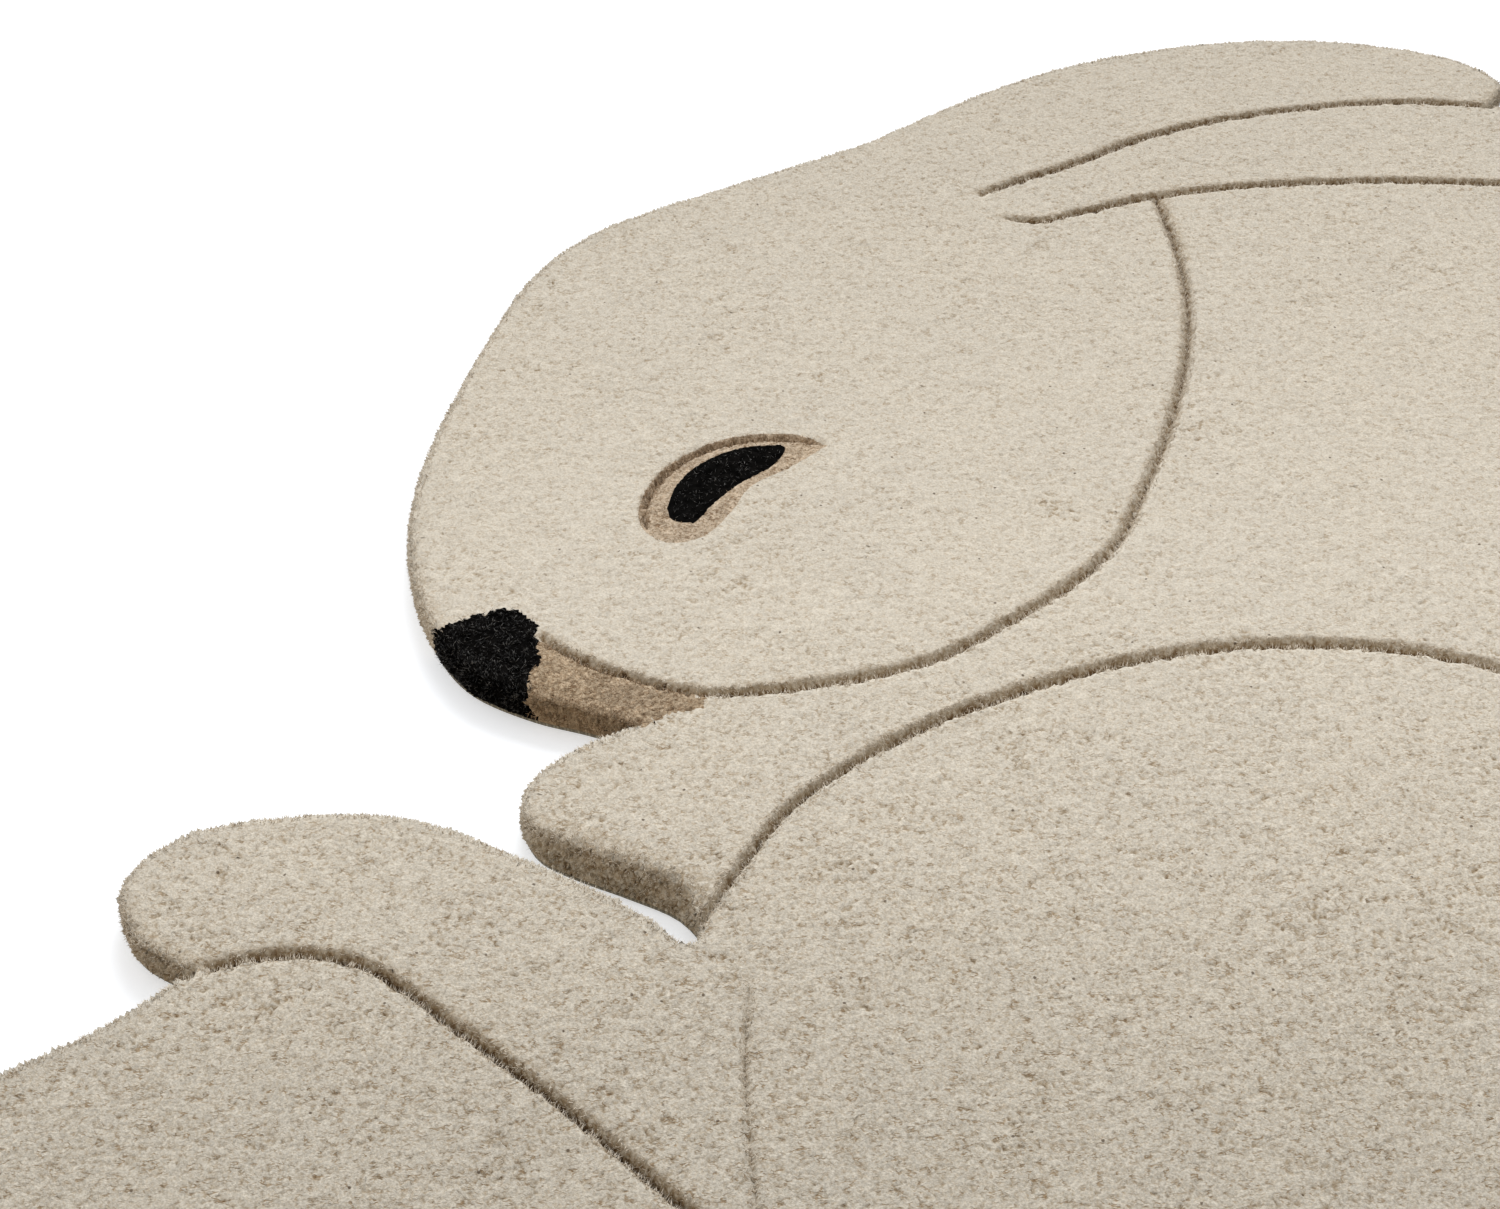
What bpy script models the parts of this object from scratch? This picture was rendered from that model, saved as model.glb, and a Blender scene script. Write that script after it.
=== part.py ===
"""Rabbit shaped rug: hand-tufted cut pile with carved lines, lying flat on a thin backing cloth.

Metres, +Z up. The origin lies on the floor under the middle of the rug's box.
+X runs from the snout towards the tail, +Y from the feet towards the ears.
"""
import bmesh
import bpy
from mathutils import Vector

MM = 0.001

# Driving dimensions
RUG_THICK = 0.0180        # floor to the tips of the pile
BACKING_THICK = 0.0020    # cloth glued under the pile
BACKING_INSET = 0.0012    # the pile stands this far proud of the cloth's edge
GAP = 0.0003              # between pieces that touch
PILE_BASE = BACKING_THICK + GAP
OUTLINE_STEP = 0.017      # spacing of the points along the outline
GROOVE_STEP = 0.020       # spacing of the points along a carved line
FIELD_STEP = 0.008        # spacing of the points round a colour field
GROOVE_FLOOR = 0.0012     # width of the flat bottom of a carved line
CUTTER_LID = 0.0040       # how far a cutter stands above the pile
FADE_LENGTH = 0.035       # a carved line that ends inside the rug runs out over this length
FADE_SHARE = 0.25         # what is left of its section at that end
OVERRUN = 0.014           # a carved line that reaches the edge runs past it by this much

# The pile's wall and its rounded rim: inset from the outline, height above the floor
RIM_SECTION = (
    (0.0010, PILE_BASE),
    (0.0000, 0.0070),
    (0.0000, 0.0120),
    (0.0020, 0.0156),
    (0.0052, 0.0174),
    (0.0095, RUG_THICK),
)

# The rabbit's outline in millimetres, clockwise, in runs that meet at corners
HEAD_AND_EAR = (
    (-238, -162), (-262, -152), (-290, -142), (-322, -122), (-343, -90), (-359, -41), (-364, 19), (-358, 79),
    (-335, 187), (-316, 248), (-283, 297), (-184, 367), (-110, 415), (-38, 477), (26, 523), (106, 558),
    (196, 574), (276, 564), (328, 536), (344, 502), (328, 470),
)
NEAR_EAR = ((328, 470), (376, 467), (420, 446), (444, 410), (438, 372), (408, 346))
BACK = ((408, 346), (456, 264), (488, 164), (502, 54), (500, -66), (484, -186), (456, -286))
TAIL = (
    (456, -286), (492, -292), (528, -318), (546, -360), (538, -406), (506, -440), (464, -450), (428, -440),
)
UNDERSIDE = (
    (428, -440), (404, -490), (356, -530), (286, -554), (196, -566), (66, -572), (-84, -574), (-234, -574),
    (-374, -570), (-464, -560), (-522, -530), (-546, -480), (-536, -426), (-498, -378), (-446, -340),
    (-420, -314),
)
FORELIMB = (
    (-420, -314), (-448, -294), (-458, -262), (-438, -234), (-398, -222), (-350, -220), (-321, -228),
    (-287, -246), (-247, -269), (-224, -286), (-212, -297), (-206, -295), (-205, -285),
)
FOREPAW = (
    (-205, -285), (-216, -271), (-239, -258), (-262, -247), (-280, -235), (-288, -217), (-285, -199),
    (-271, -182), (-253, -169), (-238, -162),
)
OUTLINE_RUNS = (HEAD_AND_EAR, NEAR_EAR, BACK, TAIL, UNDERSIDE, FORELIMB, FOREPAW)

# Carved lines. The right-hand bank, looking along the line, is the gentle one. An end that fades runs out
# in the pile, one that joins stops in another line, and one at the edge runs out through the rug's wall.
# Columns: name, steep bank, gentle bank, depth, start, end, points in millimetres
GROOVES = (
    ("jaw", 0.0022, 0.0080, 0.0070, "fades", "joins",
     ((-287, -97), (-280, -104), (-255, -120), (-230, -130), (-208, -136), (-174, -134), (-130, -126),
      (-91, -111), (-51, -80), (-23, -56), (6, -21), (26, 22), (50, 84), (70, 154), (81, 224), (82, 289),
      (79, 340))),
    ("far_ear", 0.0022, 0.0070, 0.0065, "fades", "edge",
     ((-35, 349), (-4, 372), (32, 393), (78, 426), (136, 454), (206, 472), (271, 478), (328, 470))),
    ("near_ear", 0.0022, 0.0070, 0.0065, "fades", "edge",
     ((-21, 319), (1, 317), (25, 327), (69, 346), (136, 362), (216, 368), (296, 364), (408, 346))),
    ("haunch", 0.0022, 0.0100, 0.0070, "edge", "fades",
     ((-205, -285), (-191, -259), (-166, -217), (-132, -182), (-94, -154), (-43, -129), (7, -111),
      (71, -100), (141, -106), (211, -136), (268, -184), (306, -246), (322, -316), (316, -386))),
    ("forelimb", 0.0022, 0.0100, 0.0070, "edge", "joins",
     ((-420, -314), (-384, -304), (-348, -309), (-304, -343), (-255, -385), (-204, -434), (-180, -456))),
    ("shin", 0.0040, 0.0040, 0.0040, "fades", "fades",
     ((-184, -316), (-186, -360), (-184, -400), (-178, -446), (-160, -486), (-128, -516), (-84, -534),
      (-34, -542))),
    ("tail", 0.0030, 0.0050, 0.0060, "edge", "edge",
     ((456, -286), (438, -326), (428, -366), (422, -406), (428, -440))),
    ("brow", 0.0018, 0.0045, 0.0045, "fades", "fades",
     ((-240, -8), (-243, 8), (-235, 36), (-217, 59), (-190, 73), (-162, 75), (-144, 69))),
)

# Colour fields in millimetres. The nose and the mouth run out past the outline, to plain corners.
NOSE_BORDER = (
    (-372, -106), (-334, -88), (-321, -81), (-306, -75), (-292, -84), (-289, -98), (-288, -114), (-291, -131),
    (-292, -150),
)
NOSE_OUTSIDE = ((-292, -165), (-340, -165), (-390, -140), (-390, -114))
MOUTH_BORDER = ((-296, -94), (-281, -103), (-255, -120), (-230, -130), (-206, -138))
MOUTH_PAW_SIDE = ((-206, -150), (-216, -152), (-226, -156), (-238, -162))
MOUTH_OUTSIDE = ((-262, -161), (-300, -170), (-330, -165))
EYE_BORDER = (
    (-140, 66), (-161, 76), (-190, 74), (-217, 59), (-236, 34), (-243, 4), (-239, -12), (-226, -22),
    (-208, -16), (-194, 4), (-184, 26), (-163, 44), (-140, 66),
)
PUPIL_BORDER = (
    (-228, 8), (-223, 30), (-208, 51), (-188, 63), (-165, 64), (-171, 47), (-190, 29), (-204, 11), (-214, -5),
    (-225, -2),
)

# Colours of the yarns and the cloth: base colour, roughness
CREAM = ((0.66, 0.60, 0.50), 0.95)
BLACK = ((0.010, 0.009, 0.010), 0.85)
TAN = ((0.50, 0.37, 0.25), 0.95)
CLOTH = ((0.36, 0.34, 0.29), 0.90)


def clear_scene():
    for old in list(bpy.data.objects):
        bpy.data.objects.remove(old, do_unlink=True)


def span_points(before, start, end, after, pieces):
    """Points from start towards end on a centripetal Catmull-Rom span, end left out."""
    gap_before = (start - before).length ** 0.5
    gap = (end - start).length ** 0.5
    gap_after = (after - end).length ** 0.5
    chord = end - start
    leave = chord + gap * ((start - before) / gap_before - (end - before) / (gap_before + gap))
    arrive = chord + gap * ((after - end) / gap_after - (after - start) / (gap + gap_after))
    points = []
    for index in range(pieces):
        t = index / pieces
        smooth = t * t * (3 - 2 * t)
        place = start * (1 - smooth) + end * smooth
        points.append(place + leave * (t * (1 - t) ** 2) - arrive * (t * t * (1 - t)))
    return points


def smooth_line(points_mm, step, closed=False):
    """Points in metres along a smooth curve through points_mm, about step apart."""
    points = [Vector(point) * MM for point in points_mm]
    if closed:
        guides = [points[-1], *points, points[0], points[1]]
    else:
        guides = [2 * points[0] - points[1], *points, 2 * points[-1] - points[-2]]
    line = []
    for before, start, end, after in zip(guides, guides[1:], guides[2:], guides[3:]):
        pieces = max(1, round((end - start).length / step))
        line += span_points(before, start, end, after, pieces)
    if not closed:
        line.append(points[-1])
    return line


def joined_runs(runs, step):
    """A closed loop of smooth runs, each of which starts where the last one ends."""
    loop = []
    for run in runs:
        loop += smooth_line(run, step)[:-1]
    return loop


def signed_area(loop):
    return sum(a.x * b.y - b.x * a.y for a, b in zip(loop, loop[1:] + loop[:1])) / 2


def moved_inwards(loop, distance):
    """The loop with every point moved inwards along its normal, or outwards where distance is negative."""
    turn = 1 if signed_area(loop) > 0 else -1
    moved = []
    for before, point, after in zip(loop[-1:] + loop[:-1], loop, loop[1:] + loop[:1]):
        along = (point - before).normalized() + (after - point).normalized()
        along.normalize()
        inwards = Vector((-along.y, along.x)) * turn
        moved.append(point + inwards * distance)
    return moved


def add_ring(mesh, loop, height):
    return [mesh.verts.new((point.x, point.y, height)) for point in loop]


def join_rings(mesh, lower, upper):
    count = len(lower)
    for index in range(count):
        after = (index + 1) % count
        mesh.faces.new((lower[index], lower[after], upper[after], upper[index]))


def finished_object(name, mesh):
    """An object made from a closed bmesh, with its faces pointing out."""
    bmesh.ops.recalc_face_normals(mesh, faces=mesh.faces[:])
    data = bpy.data.meshes.new(name)
    mesh.to_mesh(data)
    mesh.free()
    body = bpy.data.objects.new(name, data)
    bpy.context.scene.collection.objects.link(body)
    return body


def layered_solid(name, outline, section):
    """A solid with a flat top and bottom, whose wall follows section's rows of inset and height."""
    mesh = bmesh.new()
    rings = [add_ring(mesh, moved_inwards(outline, inset), height) for inset, height in section]
    for lower, upper in zip(rings, rings[1:]):
        join_rings(mesh, lower, upper)
    mesh.faces.new(rings[0])
    mesh.faces.new(rings[-1])
    return finished_object(name, mesh)


def as_cutter(tool):
    tool.hide_render = True
    tool.display_type = "WIRE"
    return tool


def field_cutter(name, loop, grow):
    """An upright prism over a colour field, from under the pile to above it, grown by grow on every side."""
    section = ((-grow, PILE_BASE - CUTTER_LID / 4), (-grow, RUG_THICK + CUTTER_LID))
    return as_cutter(layered_solid(name, loop, section))


def overrun_edges(line, start, end):
    """The line, made longer by OVERRUN where it reaches the rug's edge."""
    longer = list(line)
    if start == "edge":
        longer.insert(0, line[0] + (line[0] - line[1]).normalized() * OVERRUN)
    if end == "edge":
        longer.append(line[-1] + (line[-1] - line[-2]).normalized() * OVERRUN)
    return longer


def section_share(run_in, run_out, start, end):
    """How much of its section a carved line has, run_in from its start and run_out from its end."""
    share = 1.0
    if start == "fades":
        share = min(share, FADE_SHARE + (1 - FADE_SHARE) * run_in / FADE_LENGTH)
    if end == "fades":
        share = min(share, FADE_SHARE + (1 - FADE_SHARE) * run_out / FADE_LENGTH)
    return share


def groove_cutter(name, steep, gentle, depth, start, end, points_mm):
    """A V-shaped bar along a carved line: the steep bank on its left, the gentle one on its right."""
    line = overrun_edges(smooth_line(points_mm, GROOVE_STEP), start, end)
    lengths = [0.0]
    for here, there in zip(line, line[1:]):
        lengths.append(lengths[-1] + (there - here).length)
    mesh = bmesh.new()
    rings = []
    for index, point in enumerate(line):
        along = (line[min(index + 1, len(line) - 1)] - line[max(index - 1, 0)]).normalized()
        right = Vector((along.y, -along.x))
        share = section_share(lengths[index], lengths[-1] - lengths[index], start, end)
        half_floor = GROOVE_FLOOR / 2 * share
        lid = 1 + CUTTER_LID / (depth * share)
        corners = (
            (-half_floor, RUG_THICK - depth * share),
            (half_floor, RUG_THICK - depth * share),
            (half_floor + gentle * share * lid, RUG_THICK + CUTTER_LID),
            (-half_floor - steep * share * lid, RUG_THICK + CUTTER_LID),
        )
        ring = []
        for offset, height in corners:
            place = point + right * offset
            ring.append(mesh.verts.new((place.x, place.y, height)))
        rings.append(ring)
    for first, second in zip(rings, rings[1:]):
        join_rings(mesh, first, second)
    mesh.faces.new(rings[0])
    mesh.faces.new(rings[-1])
    return as_cutter(finished_object(name, mesh))


def add_boolean(body, tool, operation):
    modifier = body.modifiers.new(f"{operation.lower()}_{tool.name}", "BOOLEAN")
    modifier.operation = operation
    modifier.solver = "EXACT"
    modifier.object = tool


def set_material(body, slot, finish):
    colour, roughness = finish
    material = bpy.data.materials.get(slot) or bpy.data.materials.new(slot)
    material.use_nodes = True
    shader = material.node_tree.nodes["Principled BSDF"]
    shader.inputs["Base Color"].default_value = (*colour, 1.0)
    shader.inputs["Roughness"].default_value = roughness
    shader.inputs["Metallic"].default_value = 0.0
    material.diffuse_color = (*colour, 1.0)
    body.data.materials.append(material)


def metres(points_mm):
    return [Vector(point) * MM for point in points_mm]


def field_loops():
    """The plan loops of the four colour fields."""
    nose = smooth_line(NOSE_BORDER, FIELD_STEP) + metres(NOSE_OUTSIDE)
    mouth = smooth_line(MOUTH_BORDER, FIELD_STEP) + smooth_line(MOUTH_PAW_SIDE, FIELD_STEP)
    mouth += metres(MOUTH_OUTSIDE)
    eye = smooth_line(EYE_BORDER, FIELD_STEP)[:-1]
    pupil = smooth_line(PUPIL_BORDER, FIELD_STEP, closed=True)
    return {"nose": nose, "mouth": mouth, "eye_surround": eye, "pupil": pupil}


def build_backing(outline):
    section = ((BACKING_INSET, 0.0), (BACKING_INSET, BACKING_THICK))
    backing = layered_solid("backing", outline, section)
    set_material(backing, "backing_cloth", CLOTH)


def build_pile_field(name, outline, keep, drop, grooves, slot, finish):
    """The pile inside the loop keep, or all of it, without the loops in drop and the carved lines."""
    field = layered_solid(name, outline, RIM_SECTION)
    if keep:
        add_boolean(field, field_cutter(f"{name}_edge", keep, -GAP / 2), "INTERSECT")
    for index, loop in enumerate(drop):
        add_boolean(field, field_cutter(f"{name}_pocket_{index}", loop, GAP / 2), "DIFFERENCE")
    for groove in grooves:
        add_boolean(field, groove, "DIFFERENCE")
    set_material(field, slot, finish)


def main():
    clear_scene()
    outline = joined_runs(OUTLINE_RUNS, OUTLINE_STEP)
    loops = field_loops()
    grooves = {row[0]: groove_cutter(f"{row[0]}_line", *row[1:]) for row in GROOVES}
    build_backing(outline)
    nose, mouth, eye, pupil = (loops[name] for name in ("nose", "mouth", "eye_surround", "pupil"))
    build_pile_field("pile", outline, None, (nose, mouth, eye), grooves.values(), "cream_pile", CREAM)
    build_pile_field("nose", outline, nose, (), (), "black_pile", BLACK)
    build_pile_field("mouth", outline, mouth, (nose,), (grooves["jaw"],), "tan_pile", TAN)
    build_pile_field("eye_surround", outline, eye, (pupil,), (grooves["brow"],), "tan_pile", TAN)
    build_pile_field("pupil", outline, pupil, (), (), "black_pile", BLACK)


main()
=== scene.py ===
"""Looks of the rabbit shaped rug: cut wool pile, tuft by tuft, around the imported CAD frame.

Metres, +Z up, in the frame of the CAD. The tables are in millimetres, as in the CAD source.
"""
import math

import bpy
import numpy as np
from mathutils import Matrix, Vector
from mathutils.geometry import tessellate_polygon
from mathutils.kdtree import KDTree


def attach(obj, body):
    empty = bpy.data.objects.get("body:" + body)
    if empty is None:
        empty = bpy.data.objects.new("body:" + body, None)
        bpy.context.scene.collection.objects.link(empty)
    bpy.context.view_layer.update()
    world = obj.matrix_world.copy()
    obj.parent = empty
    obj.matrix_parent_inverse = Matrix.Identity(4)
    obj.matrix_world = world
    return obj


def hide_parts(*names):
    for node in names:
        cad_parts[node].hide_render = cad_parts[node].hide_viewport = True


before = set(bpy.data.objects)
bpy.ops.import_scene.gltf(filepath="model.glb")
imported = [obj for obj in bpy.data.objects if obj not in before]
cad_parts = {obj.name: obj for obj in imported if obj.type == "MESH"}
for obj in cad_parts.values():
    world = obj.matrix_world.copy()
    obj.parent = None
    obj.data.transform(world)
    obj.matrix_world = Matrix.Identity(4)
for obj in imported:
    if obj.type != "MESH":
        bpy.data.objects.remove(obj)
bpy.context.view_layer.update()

MM = 0.001

# ------------------------ the rabbit's lines, as in the CAD source
HEAD_AND_EAR = (
    (-238, -162), (-262, -152), (-290, -142), (-322, -122), (-343, -90), (-359, -41), (-364, 19), (-358, 79),
    (-335, 187), (-316, 248), (-283, 297), (-184, 367), (-110, 415), (-38, 477), (26, 523), (106, 558),
    (196, 574), (276, 564), (328, 536), (344, 502), (328, 470),
)
NEAR_EAR = ((328, 470), (376, 467), (420, 446), (444, 410), (438, 372), (408, 346))
BACK = ((408, 346), (456, 264), (488, 164), (502, 54), (500, -66), (484, -186), (456, -286))
TAIL = (
    (456, -286), (492, -292), (528, -318), (546, -360), (538, -406), (506, -440), (464, -450), (428, -440),
)
UNDERSIDE = (
    (428, -440), (404, -490), (356, -530), (286, -554), (196, -566), (66, -572), (-84, -574), (-234, -574),
    (-374, -570), (-464, -560), (-522, -530), (-546, -480), (-536, -426), (-498, -378), (-446, -340),
    (-420, -314),
)
FORELIMB = (
    (-420, -314), (-448, -294), (-458, -262), (-438, -234), (-398, -222), (-350, -220), (-321, -228),
    (-287, -246), (-247, -269), (-224, -286), (-212, -297), (-206, -295), (-205, -285),
)
FOREPAW = (
    (-205, -285), (-216, -271), (-239, -258), (-262, -247), (-280, -235), (-288, -217), (-285, -199),
    (-271, -182), (-253, -169), (-238, -162),
)
OUTLINE_RUNS = (HEAD_AND_EAR, NEAR_EAR, BACK, TAIL, UNDERSIDE, FORELIMB, FOREPAW)

# Carved lines: widths in metres of the banks left and right of the line, depth as a share of the deepest,
# whether each end runs out at the edge, fades out or joins another line, and the line's points
GROOVES = {
    "jaw": (0.0048, 0.0044, 0.92, "fades", "joins", (
        (-287, -97), (-280, -104), (-255, -121), (-230, -132), (-208, -138.5), (-174, -136), (-130, -127),
        (-91, -112), (-51, -82), (-23, -58), (6, -23), (26, 21), (50, 84), (70, 154), (81, 224), (82, 289),
        (79, 340))),
    "far_ear": (0.0044, 0.0043, 1.00, "fades", "edge", (
        (-35, 345), (-4, 367), (32, 388), (78, 421), (136, 449), (206, 468), (271, 476), (328, 470))),
    "near_ear": (0.0044, 0.0043, 1.00, "fades", "edge", (
        (-21, 315), (1, 312), (25, 322), (69, 341), (136, 357), (216, 364), (296, 361), (408, 346))),
    "haunch": (0.0054, 0.0045, 0.97, "edge", "fades", (
        (-205, -285), (-191, -259), (-166, -217), (-132, -184), (-94, -157), (-43, -132), (7, -114),
        (71, -103), (141, -108), (211, -137), (268, -184), (306, -246), (322, -316), (316, -386))),
    "forelimb": (0.0031, 0.0046, 0.95, "edge", "joins", (
        (-420, -314), (-384, -304), (-348, -309), (-304, -343), (-255, -385), (-204, -434), (-180, -456))),
    "shin": (0.0027, 0.0027, 0.27, "fades", "fades", (
        (-184, -316), (-186, -360), (-184, -400), (-178, -446), (-160, -486), (-128, -516), (-84, -534),
        (-34, -542))),
    "tail": (0.0042, 0.0042, 0.90, "edge", "edge", (
        (456, -286), (438, -326), (428, -366), (422, -406), (428, -440))),
    "brow": (0.0046, 0.0028, 0.72, "fades", "fades", (
        (-238, -10), (-240, 8), (-232, 34), (-215, 56), (-189, 69.5), (-163, 71), (-144, 67))),
}

# Colour fields
NOSE_BORDER = (
    (-372, -106), (-334, -88), (-321, -81), (-306, -75), (-292, -84), (-289, -98), (-288, -114),
    (-291, -131), (-292, -150),
)
NOSE_OUTSIDE = ((-292, -165), (-340, -165), (-390, -140), (-390, -114))
MOUTH_BORDER = ((-296, -94), (-281, -103), (-255, -121), (-230, -132), (-206, -140))
MOUTH_PAW_SIDE = ((-206, -150), (-216, -152), (-226, -156), (-238, -162))
MOUTH_OUTSIDE = ((-262, -161), (-300, -170), (-330, -165))
EYE_BORDER = (
    (-140, 66), (-161, 76), (-190, 74), (-217, 59), (-236, 34), (-243, 4), (-239, -12), (-226, -22),
    (-208, -16), (-194, 4), (-184, 26), (-163, 44), (-140, 66),
)
PUPIL_BORDER = (
    (-228, 8), (-223, 30), (-208, 51), (-188, 63), (-165, 64), (-171, 47), (-190, 29), (-204, 11),
    (-214, -5), (-225, -2),
)

# ------------------------ sizes
PILE_TOP = 0.0177         # mean height of the tufts' tips; the highest reach a little over the CAD's 18 mm
PILE_FOOT = 0.0022        # where the pile meets the backing
BACKING_THICK = 0.0020
BACKING_INSET = 0.0012
TUFT = 0.0030             # distance between neighbouring tufts
LATTICE_TURN = 0.31       # the rows of tufts run at this angle, in radians
GROOVE_DEPTH = 0.0095
GROOVE_FADE = 0.025
CLUMP = 0.0075            # distance between the clumps that neighbouring tufts make
SOFT_FROM = 0.30          # the jaw line turns softer and shallower this far along, on the cheek
CRISP_TO = 0.13           # it is narrow and deepest up to here, along the mouth
# Carved lines that start narrow: share of the width at the start, length over which the full width comes
THIN_START = {"brow": (0.30, 0.08), "haunch": (0.46, 0.24)}


# ------------------------ curves
def span_points(before, start, end, after, pieces):
    """Points from start up to end, end left out, on a centripetal curve through four points."""
    def gap_of(p, q):
        return max(np.linalg.norm(q - p), 1e-9) ** 0.5
    gap_before, gap, gap_after = gap_of(before, start), gap_of(start, end), gap_of(end, after)
    chord = end - start
    leave = chord + gap * ((start - before) / gap_before - (end - before) / (gap_before + gap))
    arrive = chord + gap * ((after - end) / gap_after - (after - start) / (gap + gap_after))
    made = []
    for k in range(pieces):
        t = k / pieces
        place = start + chord * (t * t * (3 - 2 * t))
        made.append(place + leave * (t * (1 - t) ** 2) - arrive * (t * t * (1 - t)))
    return made


def smooth_line(points_mm, step):
    """An open smooth line through points in millimetres, as an array in metres with points step apart."""
    p = np.array(points_mm, float) * MM
    ends = np.concatenate([[2 * p[0] - p[1]], p, [2 * p[-1] - p[-2]]])
    made = []
    for k in range(len(p) - 1):
        pieces = max(1, round(float(np.linalg.norm(p[k + 1] - p[k])) / step))
        made += span_points(ends[k], ends[k + 1], ends[k + 2], ends[k + 3], pieces)
    made.append(p[-1])
    return np.array(made)


def evenly(line, step, closed=False):
    """The line again, with points the same distance apart, and its length."""
    if closed:
        line = np.concatenate([line, line[:1]])
    along = np.concatenate([[0], np.cumsum(np.linalg.norm(np.diff(line, axis=0), axis=1))])
    count = max(2, round(along[-1] / step))
    at = np.linspace(0, along[-1], count + 1)
    if closed:
        at = at[:-1]
    return np.stack([np.interp(at, along, line[:, k]) for k in range(2)], axis=1), along[-1]


def inside(points, loop):
    """Which points lie in a closed loop."""
    found = np.zeros(len(points), bool)
    x, y = points[:, 0], points[:, 1]
    box = (x > loop[:, 0].min()) & (x < loop[:, 0].max()) & (y > loop[:, 1].min()) & (y < loop[:, 1].max())
    x, y = x[box], y[box]
    odd = np.zeros(len(x), bool)
    for (x0, y0), (x1, y1) in zip(loop, np.roll(loop, -1, axis=0)):
        if y0 != y1:
            cross = (y0 > y) != (y1 > y)
            odd ^= cross & (x < (x1 - x0) * (y - y0) / (y1 - y0) + x0)
    found[box] = odd
    return found


class Line:
    """A line that answers how far points are from it, on which side, and where along it."""

    def __init__(self, points, closed=False):
        self.p, self.closed = points, closed
        self.next = np.roll(points, -1, axis=0) if closed else points[1:]
        self.start = points if closed else points[:-1]
        lengths = np.linalg.norm(self.next - self.start, axis=1)
        self.along = np.concatenate([[0], np.cumsum(lengths)])
        self.length = self.along[-1]
        self.tree = KDTree(len(points))
        for k, q in enumerate(points):
            self.tree.insert((q[0], q[1], 0), k)
        self.tree.balance()

    def at(self, along):
        return np.stack([np.interp(along, self.along[:len(self.p)], self.p[:, k]) for k in range(2)], 1)

    def measure(self, points, reach=1.0):
        """Signed distance, positive left of the line, and the length along it; far points get reach."""
        count = len(self.start)
        distance = np.full(len(points), reach)
        along = np.zeros(len(points))
        near = np.full(len(points), -1)
        low, high = self.p.min(0) - reach, self.p.max(0) + reach
        todo = np.nonzero(((points > low) & (points < high)).all(1))[0]
        find = self.tree.find
        for k in todo:
            _, index, off = find((points[k, 0], points[k, 1], 0))
            if off < reach:
                near[k] = index
        some = near >= 0
        q, index = points[some], near[some]
        best, where, side = np.full(len(q), np.inf), np.zeros(len(q)), np.ones(len(q))
        for segment in (index - 1, index):
            segment = segment % count if self.closed else np.clip(segment, 0, count - 1)
            a, b = self.start[segment], self.next[segment]
            d = b - a
            size = np.maximum((d * d).sum(1), 1e-18)
            t = np.clip(((q - a) * d).sum(1) / size, 0, 1)
            off = q - a - t[:, None] * d
            gap = np.hypot(off[:, 0], off[:, 1])
            closer = gap < best
            best = np.where(closer, gap, best)
            where = np.where(closer, self.along[segment] + t * np.sqrt(size), where)
            side = np.where(closer, np.sign(d[:, 0] * off[:, 1] - d[:, 1] * off[:, 0]), side)
        distance[some], along[some] = best * np.where(side == 0, 1, side), where
        return distance, along


def noise(points, wavelength, seed):
    """Smooth noise from -1 to 1 whose bumps are about a wavelength apart."""
    grid = np.random.default_rng(seed).uniform(-1, 1, (256, 256))
    q = points[:, :2] / wavelength + 128
    low = np.floor(q).astype(int)
    f = q - low
    f = f * f * (3 - 2 * f)
    x0, y0 = low[:, 0] % 256, low[:, 1] % 256
    x1, y1 = (x0 + 1) % 256, (y0 + 1) % 256
    bottom = grid[x0, y0] * (1 - f[:, 0]) + grid[x1, y0] * f[:, 0]
    top = grid[x0, y1] * (1 - f[:, 0]) + grid[x1, y1] * f[:, 0]
    return bottom * (1 - f[:, 1]) + top * f[:, 1]


def eased(x):
    """A smooth step from 0 to 1, as x goes from 0 to 1."""
    x = np.clip(x, 0, 1)
    return x * x * (3 - 2 * x)


def unit(vectors):
    return vectors / np.linalg.norm(vectors, axis=1)[:, None]


def inward_of(loop):
    """Unit directions across a clockwise loop and into it, at each of its points."""
    ahead = np.roll(loop, -1, axis=0) - np.roll(loop, 1, axis=0)
    return unit(np.stack([ahead[:, 1], -ahead[:, 0]], 1))


def loop_area(points):
    """A loop's area, negative where it runs clockwise."""
    x, y = points[:, 0], points[:, 1]
    return 0.5 * float((x * np.roll(y, -1) - y * np.roll(x, -1)).sum())


# ------------------------ the outline and its sections
outline_points = np.concatenate([smooth_line(run, 0.003)[:-1] for run in OUTLINE_RUNS])
outline_points, PERIMETER = evenly(outline_points, 0.0015, closed=True)
outline = Line(outline_points, closed=True)
groove_lines = {name: Line(evenly(smooth_line(g[5], 0.004), 0.002)[0]) for name, g in GROOVES.items()}

# Directions into the rug at the outline's points, evened out round its corners
normal = inward_of(outline_points)
for _ in range(4):
    normal = unit(np.roll(normal, 1, axis=0) + 2 * normal + np.roll(normal, -1, axis=0))


def outline_at(s):
    """Points of the outline and their inward directions, s along it."""
    k = np.mod(s, PERIMETER) / PERIMETER * len(outline_points)
    a = np.floor(k).astype(int) % len(outline_points)
    b = (a + 1) % len(outline_points)
    f = (k - np.floor(k))[:, None]
    return outline_points[a] * (1 - f) + outline_points[b] * f, normal[a] * (1 - f) + normal[b] * f


def toward_front(inward, start, span):
    """How far an edge faces the feet, from 0 to 1; inward is the direction across it into the rug."""
    return eased((inward[:, 1] - start) / span)


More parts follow.
